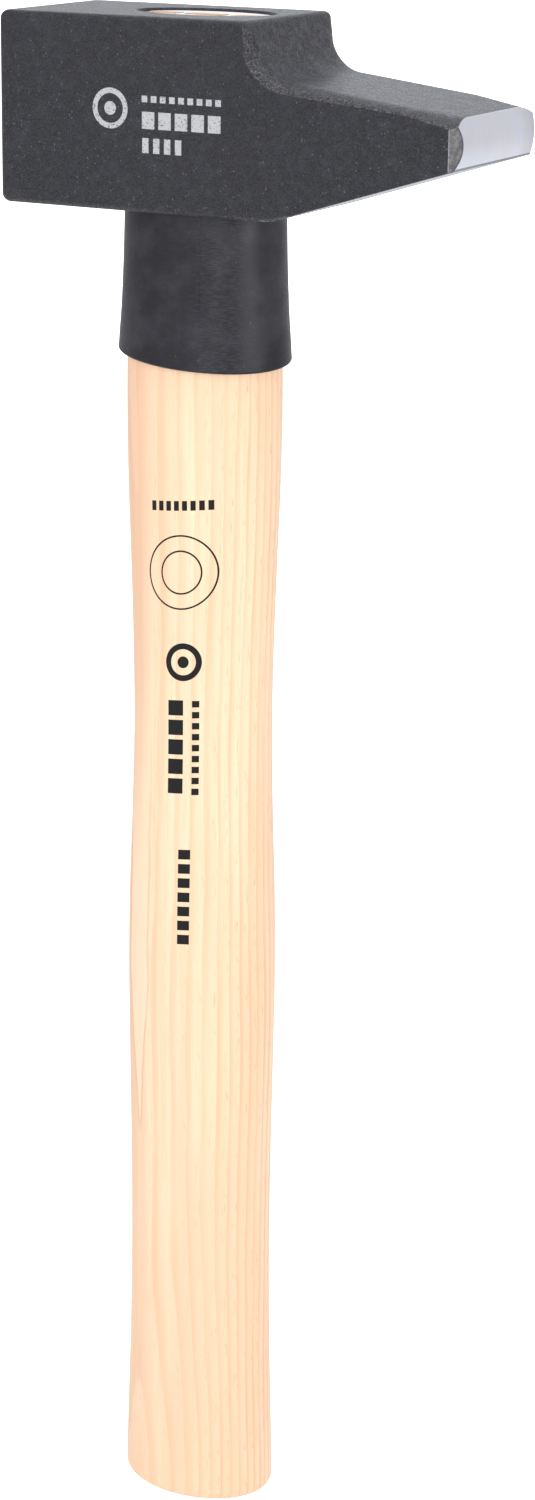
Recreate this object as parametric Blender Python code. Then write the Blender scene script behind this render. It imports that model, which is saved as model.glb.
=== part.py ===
"""Mason's cross-peen hammer: a forged steel head on an oval hickory handle, with a guard sleeve
under the head and two wedges, one of wood and one a steel ring, that spread the handle in the eye.

The handle's axis is Z, the butt rests on Z = 0, the striking face looks along -X and the peen
points along +X. Everything is in metres.
"""

import math

import bmesh
import bpy
from mathutils import Matrix, Vector

MM = 0.001

# Driving dimensions
OVERALL_HEIGHT = 330.0 * MM
HEAD_HEIGHT = 38.8 * MM
HEAD_DEPTH = 38.3 * MM
POLL_REACH = 38.0 * MM  # handle axis to striking face
PEEN_REACH = 65.5 * MM  # handle axis to the crown of the peen
CLEARANCE = 0.3 * MM  # between pieces that touch on the real hammer

HEAD_TOP = OVERALL_HEIGHT
HEAD_UNDERSIDE = HEAD_TOP - HEAD_HEIGHT

# Head, side view
PLATEAU_REACH = 18.9 * MM  # handle axis to the end of the flat top
STEP_DEPTH = 11.05 * MM  # flat top down to the root of the peen
WALL_LEAN = 0.28  # the step's wall moves out this much for each unit down
STEP_RADIUS = 8.0 * MM
PEEN_SLOPE = 0.1255  # fall of the peen's top towards the tip
NOSE_START = 53.0 * MM
NOSE_SLOPE = 0.147
TAPER_START = 24.4 * MM
TAPER_SLOPE = 0.311  # rise of the underside towards the tip
TAPER_BLEND_RADIUS = 9.0 * MM
CROWN_RADIUS = 8.8 * MM  # the peen's end is ground to this, about a line along Y
CROWN_DROP = 21.6 * MM  # head's top down to the end's furthest point
PEEN_CHAMFER = 2.1 * MM
GRIND_START = 30.0 * MM  # the underside is ground from here to the tip
POLL_CORNER_RADIUS = 1.8 * MM
PLATEAU_CORNER_RADIUS = 1.5 * MM

# Head, long edges: how far each rounding reaches across the face and down the side, and its form,
# from 0 for an oval quarter that runs into the side to 1 for a flat crown that meets it in a crease
BLOCK_EDGE = (1.2 * MM, 1.2 * MM, 0.0)
POLL_EDGE = (2.0 * MM, 1.8 * MM, 0.0)
PLATEAU_EDGE = (2.6 * MM, 1.2 * MM, 0.0)
STEP_EDGE = (4.6 * MM, 2.2 * MM, 0.3)
NOSE_EDGE = (4.2 * MM, 1.25 * MM, 0.5)
TIP_EDGE = (8.6 * MM, 2.2 * MM, 1.0)
GROUND_EDGE = (0.3 * MM, 0.3 * MM, 0.0)

# Eye through the head
EYE_MOUTH = Vector((14.8, 8.8)) * MM  # half length and half width, top and bottom
EYE_WAIST = Vector((13.4, 8.2)) * MM
EYE_CHAMFER = 0.9 * MM

# Handle
HANDLE_OVAL = 0.75  # thickness over width
BUTT_ROUND = 2.4 * MM
TENON_RECESS = 0.5 * MM
# Height above the butt and half width: butt swell, palm, belly, neck and collar seat
HANDLE_WIDTHS = [
    (0.0, 17.6),
    (7.0, 17.5),
    (20.0, 17.15),
    (38.0, 16.65),
    (58.0, 16.4),
    (80.0, 16.48),
    (104.0, 16.8),
    (126.0, 17.0),
    (142.0, 16.78),
    (160.0, 16.15),
    (180.0, 15.7),
    (196.0, 15.85),
    (216.0, 16.4),
    (236.0, 17.05),
    (252.0, 17.22),
    (264.0, 17.1),
]
GRIP_END = 264.0 * MM  # above this the shoulder, hidden in the sleeve, narrows to the eye
SHOULDER_HEIGHT = 286.0 * MM
SHOULDER_HALF = Vector((16.0, 11.9)) * MM
SHOULDER_FALL = 1.6 * MM

# Guard sleeve
SLEEVE_BOTTOM = 259.7 * MM
# The lower rim's level: mean, share of cos(turn), of sin(turn) and of cos(2 turn)
SLEEVE_RIM_WAVES = [0.7 * MM, -1.2 * MM, 1.4 * MM, -0.1 * MM]
# Share of the sleeve's height and outer half length and width
SLEEVE_OUTLINE = [
    (0.0, 19.15, 14.85),
    (0.08, 19.0, 14.75),
    (0.3, 18.55, 14.45),
    (0.6, 18.1, 14.1),
    (1.0, 17.75, 13.85),
]

# Wedges
KERF_DEPTH = 31.0 * MM
KERF_TOP = 4.0 * MM
KERF_FOOT = 1.4 * MM
WEDGE_DEPTH = 28.0 * MM
WEDGE_PROUD = 0.1 * MM
RING_OUTER = 6.3 * MM
RING_INNER = 4.7 * MM
RING_DEPTH = 15.0 * MM
RING_EDGE = 0.5 * MM  # wall thickness at the ring's driving edge

OVAL_STEPS = 48
EDGE_STEPS = 5
GRIP_STEPS = 34
RING_STEPS = 32
CUT_OVERRUN = 3.0 * MM  # how far a cutter reaches past the face it opens


def clear_scene():
    for leftover in list(bpy.data.objects):
        bpy.data.objects.remove(leftover)


def make_material(name, color, roughness, metallic=0.0):
    material = bpy.data.materials.new(name)
    material.use_nodes = True
    shader = material.node_tree.nodes["Principled BSDF"]
    shader.inputs["Base Color"].default_value = (*color, 1.0)
    shader.inputs["Roughness"].default_value = roughness
    shader.inputs["Metallic"].default_value = metallic
    return material


def add_object(name, mesh_data, material=None):
    mesh = bpy.data.meshes.new(name)
    bmesh.ops.recalc_face_normals(mesh_data, faces=mesh_data.faces)
    mesh_data.to_mesh(mesh)
    mesh_data.free()
    made = bpy.data.objects.new(name, mesh)
    bpy.context.scene.collection.objects.link(made)
    if material:
        mesh.materials.append(material)
    return made


def smooth_round_faces(made, angle=math.radians(32)):
    made.data.shade_smooth()
    made.data.set_sharp_from_angle(angle=angle)


def cut(made, cutter, name):
    """Takes the cutter out of the piece with a live Boolean, and keeps the cutter as a guide."""
    cutter.hide_render = True
    cutter.display_type = "WIRE"
    boolean = made.modifiers.new(name, "BOOLEAN")
    boolean.operation = "DIFFERENCE"
    boolean.solver = "EXACT"
    boolean.object = cutter


def smooth_value(points, at):
    """Smooth curve through (position, value) points, with level ends."""
    last = len(points) - 1
    for i in range(last):
        start, end = points[i], points[i + 1]
        if at <= end[0] or i == last - 1:
            break
    before, after = points[max(i - 1, 0)], points[min(i + 2, last)]
    span = end[0] - start[0]
    share = min(max((at - start[0]) / span, 0.0), 1.0)
    slope_in = (end[1] - before[1]) / (end[0] - before[0]) * span
    slope_out = (after[1] - start[1]) / (after[0] - start[0]) * span
    square, cube = share**2, share**3
    return (
        (2 * cube - 3 * square + 1) * start[1]
        + (cube - 2 * square + share) * slope_in
        + (3 * square - 2 * cube) * end[1]
        + (cube - square) * slope_out
    )


def oval_ring(mesh_data, half_length, half_width, height, wave=0.0, steps=OVAL_STEPS):
    """A closed loop of vertices on an oval; wave is the share of the sleeve's rim wave it follows."""
    ring = []
    for step in range(steps):
        turn = 2 * math.pi * step / steps
        mean, along, across, twice = SLEEVE_RIM_WAVES
        rim = mean + along * math.cos(turn) + across * math.sin(turn) + twice * math.cos(2 * turn)
        lift = wave * rim
        point = (half_length * math.cos(turn), half_width * math.sin(turn), height + lift)
        ring.append(mesh_data.verts.new(point))
    return ring


def join_rings(mesh_data, lower, upper):
    """A band of faces between two loops with the same number of vertices."""
    count = len(lower)
    for i in range(count):
        j = (i + 1) % count
        mesh_data.faces.new((lower[i], lower[j], upper[j], upper[i]))


def oval_loft(name, stations, material=None, closed_ends=True):
    """A solid through oval stations: (height, half length, half width, rim wave)."""
    mesh_data = bmesh.new()
    rings = [oval_ring(mesh_data, *station[1:3], station[0], station[3]) for station in stations]
    for lower, upper in zip(rings, rings[1:]):
        join_rings(mesh_data, lower, upper)
    if closed_ends:
        mesh_data.faces.new(rings[0])
        mesh_data.faces.new(rings[-1])
    else:
        join_rings(mesh_data, rings[-1], rings[0])
    return add_object(name, mesh_data, material)


def prism(name, outline, half_depth, material=None):
    """The side-view outline, a list of (x, z), pulled out to both sides along Y."""
    mesh_data = bmesh.new()
    front = [mesh_data.verts.new((x, -half_depth, z)) for x, z in outline]
    face = mesh_data.faces.new(front)
    grown = bmesh.ops.extrude_face_region(mesh_data, geom=[face])["geom"]
    moved = [item for item in grown if isinstance(item, bmesh.types.BMVert)]
    bmesh.ops.translate(mesh_data, verts=moved, vec=(0.0, 2 * half_depth, 0.0))
    return add_object(name, mesh_data, material)


def round_corner(before, corner, after, radius, steps):
    """Points of the arc that rounds a corner of the outline, tangent to both sides."""
    to_before = (Vector(before) - Vector(corner)).normalized()
    to_after = (Vector(after) - Vector(corner)).normalized()
    half_angle = to_before.angle(to_after) / 2
    reach = radius / math.tan(half_angle)
    centre = Vector(corner) + (to_before + to_after).normalized() * radius / math.sin(half_angle)
    start = Vector(corner) + to_before * reach - centre
    end = Vector(corner) + to_after * reach - centre
    sweep = -start.angle_signed(end)
    points = []
    for step in range(steps + 1):
        turn = Matrix.Rotation(sweep * step / steps, 2)
        points.append(centre + turn @ start)
    return points


def head_outline():
    """The head's side view before its end is ground, clockwise: points with their edge's shape."""
    top, bottom = HEAD_TOP, HEAD_UNDERSIDE
    far = PEEN_REACH + CUT_OVERRUN
    wall_foot = (PLATEAU_REACH + WALL_LEAN * STEP_DEPTH, top - STEP_DEPTH)
    nose = (NOSE_START, wall_foot[1] - PEEN_SLOPE * (NOSE_START - wall_foot[0]))
    far_top = (far, nose[1] - NOSE_SLOPE * (far - NOSE_START))
    far_foot = (far, bottom + TAPER_SLOPE * (far - TAPER_START))
    grind_start = (GRIND_START, bottom + TAPER_SLOPE * (GRIND_START - TAPER_START))
    # Each corner: place, radius of its arc, steps of the arc, shape of the long edge there
    corners = [
        ((TAPER_START, bottom), TAPER_BLEND_RADIUS, 3, BLOCK_EDGE),
        ((-POLL_REACH, bottom), POLL_CORNER_RADIUS, 4, POLL_EDGE),
        ((-POLL_REACH, top), POLL_CORNER_RADIUS, 4, POLL_EDGE),
        ((PLATEAU_REACH, top), PLATEAU_CORNER_RADIUS, 3, PLATEAU_EDGE),
        (wall_foot, STEP_RADIUS, 9, STEP_EDGE),
        (nose, 0.0, 0, NOSE_EDGE),
        (far_top, 0.0, 0, TIP_EDGE),
        (far_foot, 0.0, 0, GROUND_EDGE),
        (grind_start, 0.0, 0, GROUND_EDGE),
    ]
    outline = []
    for i, (corner, radius, steps, edge) in enumerate(corners):
        before = corners[i - 1][0]
        after = corners[(i + 1) % len(corners)][0]
        arc = round_corner(before, corner, after, radius, steps) if steps else [Vector(corner)]
        outline += [(point, edge) for point in arc]
    return outline


def inward_directions(points):
    """For each point of a clockwise loop, the step that moves both its edges in by one unit."""
    directions = []
    for i, point in enumerate(points):
        arriving = (point - points[i - 1]).normalized()
        leaving = (points[(i + 1) % len(points)] - point).normalized()
        first = Vector((arriving.y, -arriving.x))
        second = Vector((leaving.y, -leaving.x))
        directions.append((first + second) / (1 + first.dot(second)))
    return directions


def rounded_slab(name, outline, half_depth, material):
    """The outline pulled out along Y, its two long edges rounded to each point's own form."""
    points = [point for point, _ in outline]
    inward = inward_directions(points)
    mesh_data = bmesh.new()
    loops = []
    for side in (-1, 1):
        for step in range(EDGE_STEPS + 1):
            turn = math.pi / 2 * (step if side < 0 else EDGE_STEPS - step) / EDGE_STEPS
            loop = []
            oval, crown = 1 - math.sin(turn), math.cos(turn) ** 2
            for (point, (across, down, form)), direction in zip(outline, inward):
                x, z = point + direction * down * (oval + form * (crown - oval))
                y = side * (half_depth - across * (1 - math.cos(turn)))
                loop.append(mesh_data.verts.new((x, y, z)))
            loops.append(loop)
    for near, far in zip(loops, loops[1:]):
        join_rings(mesh_data, near, far)
    mesh_data.faces.new(loops[0])
    mesh_data.faces.new(loops[-1])
    return add_object(name, mesh_data, material)


def peen_end_cutter():
    """Everything past the peen's crowned end, as a prism with a hollow arc for its inner side."""
    middle = HEAD_TOP - CROWN_DROP
    centre_x = PEEN_REACH - CROWN_RADIUS
    reach = math.radians(50)
    steps = 20
    turns = [-reach + 2 * reach * step / steps for step in range(steps + 1)]
    arc = [
        (centre_x + CROWN_RADIUS * math.cos(turn), middle + CROWN_RADIUS * math.sin(turn))
        for turn in turns
    ]
    far = PEEN_REACH + HEAD_HEIGHT
    outline = arc + [(far, arc[-1][1] + HEAD_HEIGHT), (far, arc[0][1] - HEAD_HEIGHT)]
    return prism("peen_end_cutter", outline, HEAD_DEPTH)


def peen_corner_cutter(side):
    """Takes a slanting chamfer off one upright corner of the peen; side is -1 front, 1 back."""
    size = HEAD_DEPTH / 3
    edge = HEAD_DEPTH / 2 - PEEN_CHAMFER
    low, high = HEAD_UNDERSIDE, HEAD_TOP
    plan = [
        (PEEN_REACH + size, edge - size),
        (PEEN_REACH + size, edge + size),
        (PEEN_REACH - size, edge + size),
    ]
    mesh_data = bmesh.new()
    foot = [mesh_data.verts.new((x, side * y, low)) for x, y in plan]
    head = [mesh_data.verts.new((x, side * y, high)) for x, y in plan]
    join_rings(mesh_data, foot, head)
    mesh_data.faces.new(foot)
    mesh_data.faces.new(head)
    name = "peen_corner_cutter_front" if side < 0 else "peen_corner_cutter_back"
    return add_object(name, mesh_data)


def eye_half(height):
    """The eye's half length and half width at a height: a waist in the middle, wider mouths."""
    share = (height - HEAD_UNDERSIDE) / HEAD_HEIGHT
    flare = (2 * share - 1) ** 2
    return EYE_WAIST.lerp(EYE_MOUTH, min(flare, 1.0))


def eye_cutter():
    flared = EYE_MOUTH + Vector((1, 1)) * (EYE_CHAMFER + CUT_OVERRUN)
    stations = [(HEAD_UNDERSIDE - CUT_OVERRUN, flared.x, flared.y, 0.0)]
    steps = 8
    low, high = HEAD_UNDERSIDE + EYE_CHAMFER, HEAD_TOP - EYE_CHAMFER
    for step in range(steps + 1):
        height = low + (high - low) * step / steps
        half = eye_half(height)
        stations.append((height, half.x, half.y, 0.0))
    stations.append((HEAD_TOP + CUT_OVERRUN, flared.x, flared.y, 0.0))
    return oval_loft("eye_cutter", stations)


def make_head(material):
    """Forged head: rounded slab, then the crowned end, its two corners and the eye."""
    head = rounded_slab("head", head_outline(), HEAD_DEPTH / 2, material)
    cut(head, peen_end_cutter(), "crowned_end")
    cut(head, peen_corner_cutter(-1), "front_corner")
    cut(head, peen_corner_cutter(1), "back_corner")
    cut(head, eye_cutter(), "eye")
    smooth_round_faces(head)
    return head


def handle_half(height):
    """Half width and half thickness of the grip at a height above the butt."""
    width = smooth_value(HANDLE_WIDTHS, height / MM) * MM
    return Vector((width, width * HANDLE_OVAL))


def handle_stations():
    stations = []
    round_steps = 4
    half = handle_half(BUTT_ROUND)
    for step in range(round_steps + 1):
        turn = math.pi / 2 * step / round_steps
        inset = BUTT_ROUND * (1 - math.sin(turn))
        height = BUTT_ROUND * (1 - math.cos(turn))
        stations.append((height, half.x - inset, half.y - inset, 0.0))
    for step in range(1, GRIP_STEPS + 1):
        height = BUTT_ROUND + (GRIP_END - BUTT_ROUND) * step / GRIP_STEPS
        half = handle_half(height)
        stations.append((height, half.x, half.y, 0.0))
    stations.append((SHOULDER_HEIGHT, SHOULDER_HALF.x, SHOULDER_HALF.y, 0.0))
    tenon_steps = 6
    low, high = HEAD_UNDERSIDE + EYE_CHAMFER, HEAD_TOP - TENON_RECESS
    foot = eye_half(low) - Vector((1, 1)) * CLEARANCE
    stations.append((SHOULDER_HEIGHT + SHOULDER_FALL, foot.x, foot.y, 0.0))
    for step in range(tenon_steps + 1):
        height = low + (high - low) * step / tenon_steps
        half = eye_half(height) - Vector((1, 1)) * CLEARANCE
        stations.append((height, half.x, half.y, 0.0))
    return stations


def wedge_prism(name, gap, depth, lift, half_length, material=None):
    """A wedge along X that narrows downwards with the kerf, thinner by a gap on each side."""
    tenon_end = HEAD_TOP - TENON_RECESS
    slope = (KERF_TOP - KERF_FOOT) / KERF_DEPTH
    half_top = (KERF_TOP + slope * lift) / 2 - gap
    half_foot = (KERF_TOP - slope * depth) / 2 - gap
    foot, top = tenon_end - depth, tenon_end + lift
    profile = [(-half_foot, foot), (half_foot, foot), (half_top, top), (-half_top, top)]
    mesh_data = bmesh.new()
    left = [mesh_data.verts.new((-half_length, y, z)) for y, z in profile]
    right = [mesh_data.verts.new((half_length, y, z)) for y, z in profile]
    join_rings(mesh_data, left, right)
    mesh_data.faces.new(left)
    mesh_data.faces.new(right)
    return add_object(name, mesh_data, material)


def ring_solid(name, gap, lift, material=None):
    """The steel ring, or with a gap the groove it sits in: a tube that thins to its lower edge."""
    top = HEAD_TOP - TENON_RECESS + lift
    foot = HEAD_TOP - TENON_RECESS - RING_DEPTH - gap
    middle = (RING_OUTER + RING_INNER) / 2
    section = [
        (RING_INNER - gap, top),
        (middle - RING_EDGE / 2 - gap, foot),
        (middle + RING_EDGE / 2 + gap, foot),
        (RING_OUTER + gap, top),
    ]
    mesh_data = bmesh.new()
    loops = [oval_ring(mesh_data, r, r, height, steps=RING_STEPS) for r, height in section]
    for inner, outer in zip(loops, loops[1:] + loops[:1]):
        join_rings(mesh_data, inner, outer)
    return add_object(name, mesh_data, material)


def make_handle(material):
    """Oval handle whose tenon has a lengthwise kerf and a round groove for the two wedges."""
    handle = oval_loft("handle", handle_stations(), material)
    cut(handle, wedge_prism("kerf_cutter", 0.0, KERF_DEPTH, CUT_OVERRUN, 2 * EYE_MOUTH.x), "kerf")
    cut(handle, ring_solid("handle_groove_cutter", CLEARANCE, CUT_OVERRUN), "ring_groove")
    smooth_round_faces(handle)
    return handle


def make_wood_wedge(material):
    """Wooden wedge in the kerf, as long as the eye's waist, grooved by the steel ring."""
    half_length = EYE_WAIST.x - CLEARANCE
    wedge = wedge_prism(
        "wood_wedge", CLEARANCE, WEDGE_DEPTH, WEDGE_PROUD, half_length, material
    )
    cut(wedge, ring_solid("wedge_groove_cutter", CLEARANCE, CUT_OVERRUN), "ring_groove")
    return wedge


def sleeve_half(share):
    length = smooth_value([(s, a) for s, a, _ in SLEEVE_OUTLINE], share) * MM
    width = smooth_value([(s, b) for s, _, b in SLEEVE_OUTLINE], share) * MM
    return Vector((length, width))


def make_guard_sleeve(material):
    """Moulded sleeve: tapered outside, lipped inside over the handle's shoulder."""
    top = HEAD_UNDERSIDE - CLEARANCE
    height = top - SLEEVE_BOTTOM
    outer_steps = 8
    outside = []
    for step in range(outer_steps + 1):
        share = step / outer_steps
        half = sleeve_half(share)
        wave = (1 - share) ** 2
        outside.append((SLEEVE_BOTTOM + height * share, half.x, half.y, wave))
    throat = eye_half(HEAD_UNDERSIDE + EYE_CHAMFER) + Vector((1, 1)) * CLEARANCE / 2
    lip_foot = SHOULDER_HEIGHT + SHOULDER_FALL + CLEARANCE
    inside = [(top, throat.x, throat.y, 0.0), (lip_foot, throat.x, throat.y, 0.0)]
    seat = SHOULDER_HALF + Vector((1, 1)) * CLEARANCE
    inside.append((SHOULDER_HEIGHT + CLEARANCE / 2, seat.x, seat.y, 0.0))
    inner_steps = 4
    for step in range(1, inner_steps + 1):
        share = 1 - step / inner_steps
        level = SLEEVE_BOTTOM + (SHOULDER_HEIGHT - SLEEVE_BOTTOM) * share
        wave = (1 - share) ** 2
        if level < GRIP_END:
            grip = handle_half(level)
        else:
            rise = (level - GRIP_END) / (SHOULDER_HEIGHT - GRIP_END)
            grip = handle_half(GRIP_END).lerp(SHOULDER_HALF, rise)
        half = grip + Vector((1, 1)) * CLEARANCE
        inside.append((level, half.x, half.y, wave))
    return oval_loft("guard_sleeve", outside + inside, material, closed_ends=False)


def main():
    clear_scene()
    powder_coat = make_material("black_powder_coat", (0.045, 0.046, 0.052), 0.55)
    hickory = make_material("hickory", (0.80, 0.60, 0.42), 0.5)
    sleeve_plastic = make_material("black_sleeve", (0.035, 0.035, 0.040), 0.45)
    wedge_wood = make_material("wedge_wood", (0.62, 0.42, 0.26), 0.65)
    bright_steel = make_material("bright_steel", (0.72, 0.72, 0.74), 0.3, 1.0)
    make_head(powder_coat)
    make_handle(hickory)
    sleeve = make_guard_sleeve(sleeve_plastic)
    smooth_round_faces(sleeve)
    make_wood_wedge(wedge_wood)
    ring_wedge = ring_solid("ring_wedge", 0.0, 0.0, bright_steel)
    smooth_round_faces(ring_wedge)


main()
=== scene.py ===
import math

import bmesh
import bpy
import numpy as np
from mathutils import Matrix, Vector


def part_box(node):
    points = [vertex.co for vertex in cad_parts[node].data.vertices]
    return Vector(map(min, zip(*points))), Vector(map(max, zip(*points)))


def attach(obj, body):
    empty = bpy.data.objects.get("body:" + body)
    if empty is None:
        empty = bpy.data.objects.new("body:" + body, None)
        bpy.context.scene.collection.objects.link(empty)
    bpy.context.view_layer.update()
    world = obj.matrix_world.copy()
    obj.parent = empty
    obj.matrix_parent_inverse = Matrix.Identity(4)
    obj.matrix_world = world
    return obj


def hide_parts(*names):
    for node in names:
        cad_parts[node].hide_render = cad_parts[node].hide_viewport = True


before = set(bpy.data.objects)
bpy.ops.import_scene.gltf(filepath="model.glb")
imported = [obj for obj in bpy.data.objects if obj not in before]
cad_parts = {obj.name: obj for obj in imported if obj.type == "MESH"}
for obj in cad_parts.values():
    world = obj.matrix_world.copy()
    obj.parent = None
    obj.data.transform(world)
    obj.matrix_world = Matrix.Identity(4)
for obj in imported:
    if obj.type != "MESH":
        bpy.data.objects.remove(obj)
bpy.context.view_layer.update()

mm = 0.001


# mesh helpers

def smoothCurve(at, knots, values):
    # cubic through each knot, its slope there being the rise between its two neighbours
    knots, values = np.asarray(knots, float), np.asarray(values, float)
    slopes = np.gradient(values, knots)
    i = np.clip(np.searchsorted(knots, at) - 1, 0, len(knots) - 2)
    span = knots[i + 1] - knots[i]
    t = np.clip((at - knots[i]) / span, 0, 1)
    rise = values[i + 1] - values[i]
    start, end = slopes[i] * span, slopes[i + 1] * span
    return values[i] + t * start + t**2 * (3 * rise - 2 * start - end) + t**3 * (start + end - 2 * rise)


def pieceFromRings(name, rings, joined=False):
    # rings[i, j] is point j of closed ring i; each is bridged to the next, then the ends are
    # capped, or joined to each other for a tube with an inside
    rows, around = rings.shape[:2]
    last = rows if joined else rows - 1
    i, j = np.meshgrid(np.arange(last), np.arange(around), indexing="ij")
    k, below = (j + 1) % around, (i + 1) % rows
    quads = np.stack([i * around + j, i * around + k, below * around + k, below * around + j], -1)
    faces = quads.reshape(-1, 4).tolist()
    if not joined:
        faces.append(list(range(around)))
        faces.append(list(range((rows - 1) * around, rows * around)))
    mesh = bpy.data.meshes.new(name)
    mesh.from_pydata(rings.reshape(-1, 3).tolist(), [], faces)
    shape = bmesh.new()
    shape.from_mesh(mesh)
    bmesh.ops.recalc_face_normals(shape, faces=shape.faces)
    shape.to_mesh(mesh)
    shape.free()
    piece = bpy.data.objects.new(name, mesh)
    bpy.context.scene.collection.objects.link(piece)
    return piece


# guard sleeve's numbers, in millimetres; its rim wave is used by the rings below
sleeveForm = {
    # the lower rim's height and its wave: mean, then shares of cos(turn), sin(turn), cos(2 turn)
    "rimHeight": 259.71, "rimWaves": (0.7, -1.2, 1.4, -0.1), "rimRound": 0.5,
    "rows": 30, "around": 128, "gap": 0.1, "lipRise": 0.2,
    # share of the height, outer half length and half width
    "shares": [0.0, 0.08, 0.3, 0.6, 1.0],
    "lengths": [19.0, 18.85, 18.35, 17.9, 17.55],
    "widths": [14.75, 14.65, 14.3, 14.0, 13.75],
}


def rimWave(turn):
    # mean + along cos(turn) + across sin(turn) + twice cos(2 turn): it dips at the front right
    mean, along, across, twice = sleeveForm["rimWaves"]
    return mean + along * np.cos(turn) + across * np.sin(turn) + twice * np.cos(2 * turn)


def ovalRings(halfLengths, halfWidths, heights, around, lift=0.0):
    # x = half length cos(turn), y = half width sin(turn), z = height + lift x rim wave of turn
    turn = 2 * np.pi * np.arange(around) / around
    lengths, widths, levels, lifts = [
        np.broadcast_to(value, np.shape(heights))[:, None]
        for value in (halfLengths, halfWidths, heights, lift)
    ]
    x, y = lengths * np.cos(turn), widths * np.sin(turn)
    return np.stack([x, y, levels + lifts * rimWave(turn)], -1)


def prismRings(outline, direction, reach):
    # the outline in a plane, moved to minus and plus reach along the direction
    step = np.asarray(direction) * reach
    return np.stack([outline - step, outline + step])


def cutAway(piece, cutters):
    # takes every cutter out of the piece and bakes the result into its mesh
    for cutter in cutters:
        boolean = piece.modifiers.new("cut_" + cutter.name, "BOOLEAN")
        boolean.operation, boolean.solver, boolean.object = "DIFFERENCE", "EXACT", cutter
    graph = bpy.context.evaluated_depsgraph_get()
    baked = bpy.data.meshes.new_from_object(piece.evaluated_get(graph))
    piece.modifiers.clear()
    piece.data = baked
    for cutter in cutters:
        bpy.data.objects.remove(cutter)


def softShade(piece, sharpAngle=32):
    # smooth shading that stays sharp above the angle, weighted by face area
    piece.data.shade_smooth()
    piece.data.set_sharp_from_angle(angle=math.radians(sharpAngle))
    even = piece.modifiers.new("evenShading", "WEIGHTED_NORMAL")
    even.keep_sharp = True


# head

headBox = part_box("head")
headTop, headFoot = headBox[1].z, headBox[0].z
headForm = {
    "plateauReach": 18.9, "wallLean": 0.28, "stepDepth": 11.05, "stepRadius": 8.0,
    "peenSlope": 0.1255, "noseStart": 53.0, "noseSlope": 0.147,
    "taperStart": 24.4, "taperSlope": 0.311, "taperBlend": 9.0, "grindStart": 30.0,  # the underside
    "crownRadius": 8.8, "crownDrop": 21.6, "peenChamfer": 2.1,
    "pollCorner": 1.8, "plateauCorner": 1.5,
    # long edges: reach across the face, reach down the side, 0 oval to 1 crowned
    "blockEdge": (1.0, 1.0, 0.0), "pollEdge": (1.9, 1.7, 0.0), "plateauEdge": (2.4, 1.2, 0.0),
    "stepEdge": (4.6, 2.2, 0.3), "noseEdge": (4.2, 1.25, 0.5), "tipEdge": (8.6, 2.2, 1.0),
    "groundEdge": (0.25, 0.25, 0.0),
    "pointSpacing": 0.9, "edgeSteps": 10, "overshoot": 3.0, "cutterSize": 12.0,
    "crownSweep": 50.0, "crownPoints": 61, "crownClear": (50.0, 40.0),
}
eyeForm = {
    "mouth": (14.8, 8.8), "waist": (13.4, 8.2), "chamfer": 0.9,
    "around": 96, "levels": 14, "overshoot": 3.0,
}


def headOutline(form):
    # side view, clockwise: straight runs joined by arcs; every point carries its edge's numbers
    reach, far = form["pointSpacing"], headBox[1].x / mm + form["overshoot"]
    top, foot = headTop / mm, headFoot / mm
    wallFoot = (form["plateauReach"] + form["wallLean"] * form["stepDepth"], top - form["stepDepth"])
    nose = (form["noseStart"], wallFoot[1] - form["peenSlope"] * (form["noseStart"] - wallFoot[0]))
    grind = form["grindStart"]
    farFoot, grindFoot = [foot + form["taperSlope"] * (x - form["taperStart"]) for x in (far, grind)]
    corners = [
        ((form["taperStart"], foot), form["taperBlend"], form["blockEdge"]),
        ((headBox[0].x / mm, foot), form["pollCorner"], form["pollEdge"]),
        ((headBox[0].x / mm, top), form["pollCorner"], form["pollEdge"]),
        ((form["plateauReach"], top), form["plateauCorner"], form["plateauEdge"]),
        (wallFoot, form["stepRadius"], form["stepEdge"]),
        (nose, 0.0, form["noseEdge"]),
        ((far, nose[1] - form["noseSlope"] * (far - nose[0])), 0.0, form["tipEdge"]),
        ((far, farFoot), 0.0, form["groundEdge"]),
        ((grind, grindFoot), 0.0, form["groundEdge"]),
    ]
    places = np.array([corner[0] for corner in corners])
    arcs = []
    for i, (corner, radius, edge) in enumerate(corners):
        back = places[i - 1] - places[i]
        ahead = places[(i + 1) % len(places)] - places[i]
        back, ahead = back / np.linalg.norm(back), ahead / np.linalg.norm(ahead)
        halfAngle = math.acos(np.clip(back @ ahead, -1, 1)) / 2
        if radius == 0:
            arcs.append(places[i][None])
            continue
        bisector = (back + ahead) / np.linalg.norm(back + ahead)
        centre = places[i] + bisector * radius / math.sin(halfAngle)
        start = places[i] + back * radius / math.tan(halfAngle) - centre
        end = places[i] + ahead * radius / math.tan(halfAngle) - centre
        sweep = math.atan2(start[0] * end[1] - start[1] * end[0], start @ end)
        steps = max(6, int(abs(sweep) * radius / reach * 2))
        turn = sweep * np.arange(steps + 1)[:, None] / steps
        side = np.array([-start[1], start[0]])
        arcs.append(centre + start * np.cos(turn) + side * np.sin(turn))
    points, edges = [], []
    for i, arc in enumerate(arcs):
        following = (i + 1) % len(arcs)
        run = arcs[following][0] - arc[-1]
        steps = max(2, int(np.linalg.norm(run) / reach))
        share = np.arange(1, steps)[:, None] / steps
        here, there = np.array(corners[i][2]), np.array(corners[following][2])
        points += [arc, arc[-1] + share * run]
        edges += [np.tile(here, (len(arc), 1)), here + share * (there - here)]
    return np.concatenate(points), np.concatenate(edges)


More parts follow.
